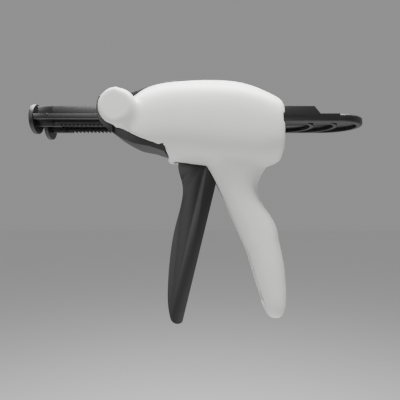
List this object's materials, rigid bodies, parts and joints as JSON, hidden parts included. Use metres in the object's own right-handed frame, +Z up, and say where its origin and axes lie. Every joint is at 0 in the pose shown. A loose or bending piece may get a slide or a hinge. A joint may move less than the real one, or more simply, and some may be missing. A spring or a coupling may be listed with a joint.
{
  "type": "cartridge dispensing gun",
  "caption": "Hand-held dispensing gun for a side-by-side impression material cartridge, with a squeeze trigger, toothed twin-rod plunger and flip-up cartridge latch",
  "frame": {"origin": "on the plunger's centre line, at the flat face that the cartridge flange rests against", "axes": "+X runs back along the plunger to its pull, the muzzle points to -X, +Y is across, +Z is up; the handle hangs towards -Z"},
  "size_m": [0.2052, 0.054, 0.1526],
  "materials": {
    "white_shell": "fine satin moulded ABS",
    "black_frame": "satin glass-filled nylon",
    "black_latch": "satin moulded ABS",
    "black_trigger": "satin moulded acetal",
    "black_plunger": "satin moulded acetal",
    "screw_steel": "zinc plated",
    "pin_steel": "ground steel",
    "spring_steel": "drawn spring steel",
    "pawl_steel": "stamped and tumbled",
    "washer_nylon": "natural nylon",
    "bumper_rubber": "soft matt rubber"
  },
  "bodies": {
    "grip": {"left_housing": "white_shell", "right_housing": "white_shell", "housing_screws": "screw_steel", "chassis": "black_frame", "latch_pin": "pin_steel", "trigger_pin": "pin_steel", "trigger_washers": "washer_nylon", "trigger_bumper": "bumper_rubber", "rod_brake": "spring_steel", "brake_screws": "screw_steel"},
    "latch": {"latch_lever": "black_latch", "latch_spring": "spring_steel"},
    "trigger": {"trigger": "black_trigger", "trigger_spring": "spring_steel", "pawl_pin": "pin_steel", "pawl_clips": "spring_steel"},
    "pawl": {"drive_pawl": "pawl_steel", "pawl_spring": "spring_steel"},
    "plunger": {"plunger": "black_plunger", "left_piston": "black_plunger", "right_piston": "black_plunger"}
  },
  "joints": [
    {"name": "plunger_slide", "type": "slide", "parent": "grip", "child": "plunger", "axis": [-1, 0, 0], "range_m": [-0.0375, 0.0425]},
    {"name": "trigger_swing", "type": "hinge", "parent": "grip", "child": "trigger", "pos_m": [0.057, 0, -0.0236], "axis": [0, -1, 0], "range_deg": [0, 26], "stiffness_Nm_per_rad": 0.35, "springref_deg": -20.05},
    {"name": "pawl_swing", "type": "hinge", "parent": "trigger", "child": "pawl", "pos_m": [0.06075, 0, -0.00736], "axis": [0, 1, 0], "range_deg": [0, 9], "stiffness_Nm_per_rad": 0.004, "springref_deg": -11.46},
    {"name": "latch_lift", "type": "hinge", "parent": "grip", "child": "latch", "pos_m": [0.0468, 0, 0.0214], "axis": [0, 1, 0], "range_deg": [0, 65], "stiffness_Nm_per_rad": 0.02, "springref_deg": -22.92}
  ]
}
